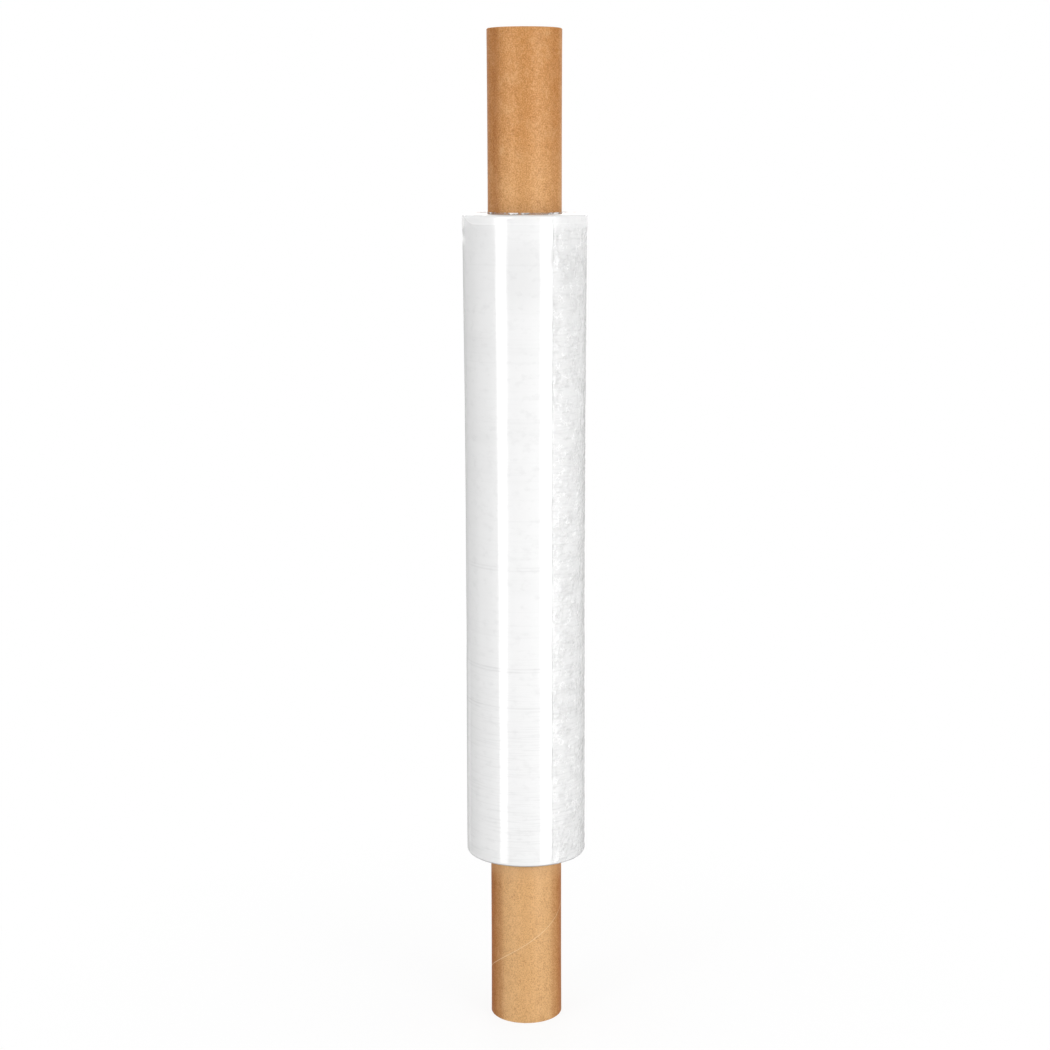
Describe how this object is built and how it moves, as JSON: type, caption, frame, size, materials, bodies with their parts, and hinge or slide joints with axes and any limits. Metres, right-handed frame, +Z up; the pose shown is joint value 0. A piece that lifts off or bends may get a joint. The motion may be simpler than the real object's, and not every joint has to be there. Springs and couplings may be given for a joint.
{
  "type": "stretch wrap roll",
  "caption": "Clear stretch film wound on a kraft paperboard tube that stands out past the film at both ends as bare hand grips",
  "frame": {"origin": "centre of the tube's lower rim, on the surface that the roll stands on", "axes": "+Z runs up the tube's axis; -Y is the front, and the film's free edge runs up the roll 26 degrees to the right of it"},
  "size_m": [0.097, 0.0968, 0.774],
  "materials": {
    "kraft_board": "matte kraft board with fine fibres and a spiral seam",
    "clear_film": "glossy, thin clear film whose many turns look milky white"
  },
  "bodies": {
    "root": {"cardboard_core": "kraft_board", "film_roll": "clear_film"}
  },
  "joints": []
}
